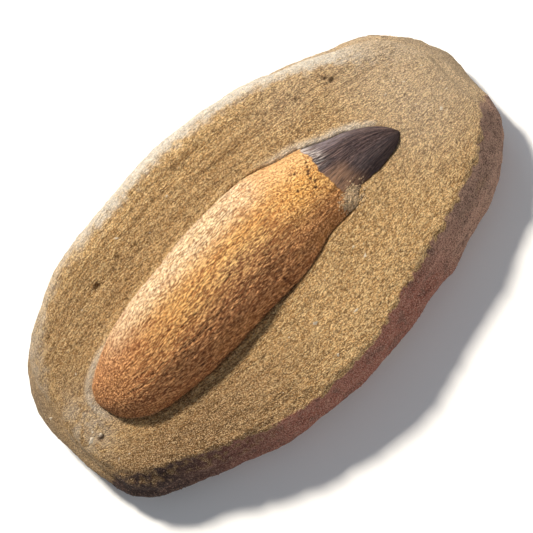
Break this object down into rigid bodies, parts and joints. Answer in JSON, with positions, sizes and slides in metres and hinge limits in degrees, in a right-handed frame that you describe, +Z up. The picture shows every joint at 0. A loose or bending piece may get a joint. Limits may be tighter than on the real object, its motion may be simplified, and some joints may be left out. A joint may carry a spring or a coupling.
{
  "type": "fossil mosasaur tooth in matrix",
  "caption": "Fossil marine reptile tooth, a dark enamel crown on a long barrel-shaped root, lying half buried in an oval block of its sandy matrix.",
  "frame": {"origin": "centre of the footprint, on the flat underside of the matrix", "axes": "+X along the tooth towards the tip of its crown, +Y across to the high rim, +Z up out of the sand"},
  "size_m": [0.152, 0.0896, 0.0324],
  "materials": {
    "tooth": "satin",
    "matrix": "rough"
  },
  "bodies": {
    "root": {"tooth": "tooth", "matrix": "matrix"}
  },
  "joints": []
}
